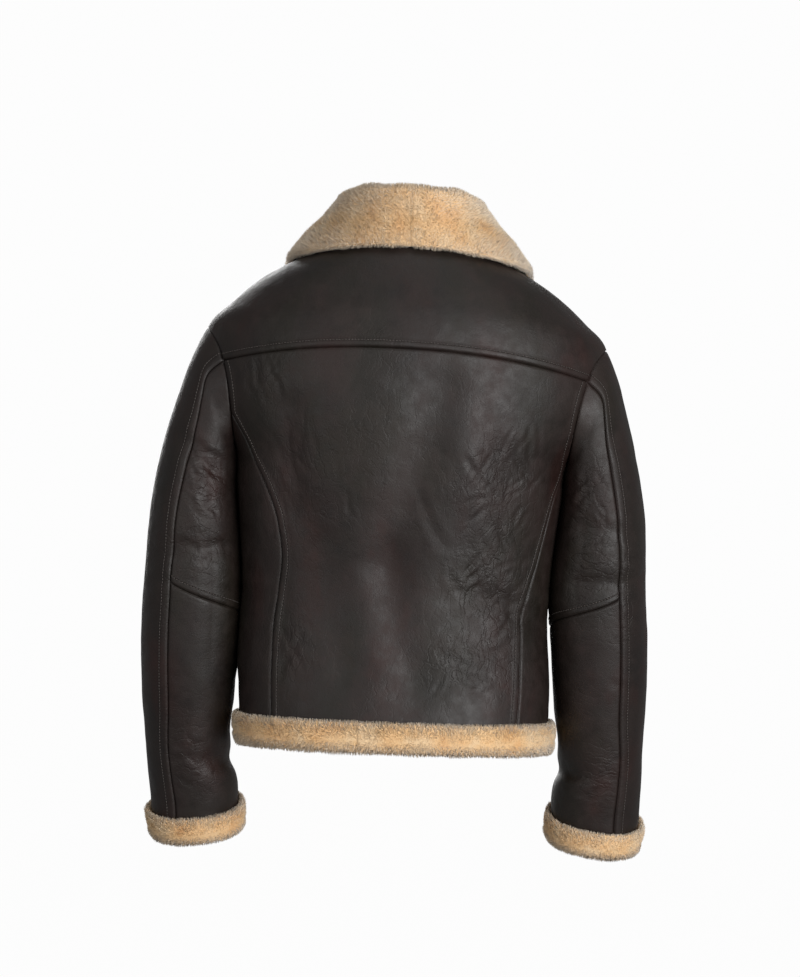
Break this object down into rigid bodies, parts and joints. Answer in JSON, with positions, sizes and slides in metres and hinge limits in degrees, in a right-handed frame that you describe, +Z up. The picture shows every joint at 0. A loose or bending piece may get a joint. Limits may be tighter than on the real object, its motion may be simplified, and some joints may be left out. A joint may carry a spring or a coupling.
{
  "type": "shearling leather jacket",
  "caption": "Cropped leather jacket in its worn form with no wearer: curved back seams, slanted elbow seams, and a turned-down wool collar with turned-up wool hem and cuffs.",
  "frame": {"origin": "middle of the neck opening at the height of the nape seam, where the wearer's neck and shoulders hold the jacket", "axes": "+Z up from the hem to the collar, -Y towards the front, +X towards the wearer's left"},
  "size_m": [0.6171, 0.2967, 0.8028],
  "materials": {
    "leather": "soft satin nappa, dark brown",
    "wool": "short sheared wool pile, cream with honey tints",
    "tape": "woven zip tape, dark brown",
    "zip_metal": "aged brass, satin"
  },
  "bodies": {
    "jacket": {"back_yoke": "leather", "back_panel": "leather", "side_panel_left": "leather", "side_panel_right": "leather", "front_left": "leather", "front_right": "leather", "outer_sleeve_left": "leather", "outer_sleeve_right": "leather", "under_sleeve_upper_left": "leather", "under_sleeve_upper_right": "leather", "under_sleeve_lower_left": "leather", "under_sleeve_lower_right": "leather", "collar_left": "wool", "collar_right": "wool", "hem_band_left": "wool", "hem_band_right": "wool", "cuff_left": "wool", "cuff_right": "wool", "zip_tape_left": "tape", "zip_tape_right": "tape", "zip_slider": "zip_metal"},
    "pull_tab": {"zip_pull": "zip_metal"}
  },
  "joints": [
    {"name": "pull_tab_swing", "type": "hinge", "parent": "jacket", "child": "pull_tab", "pos_m": [0, -0.08403, -0.08695], "axis": [-1, 0, 0], "range_deg": [0, 90]}
  ]
}
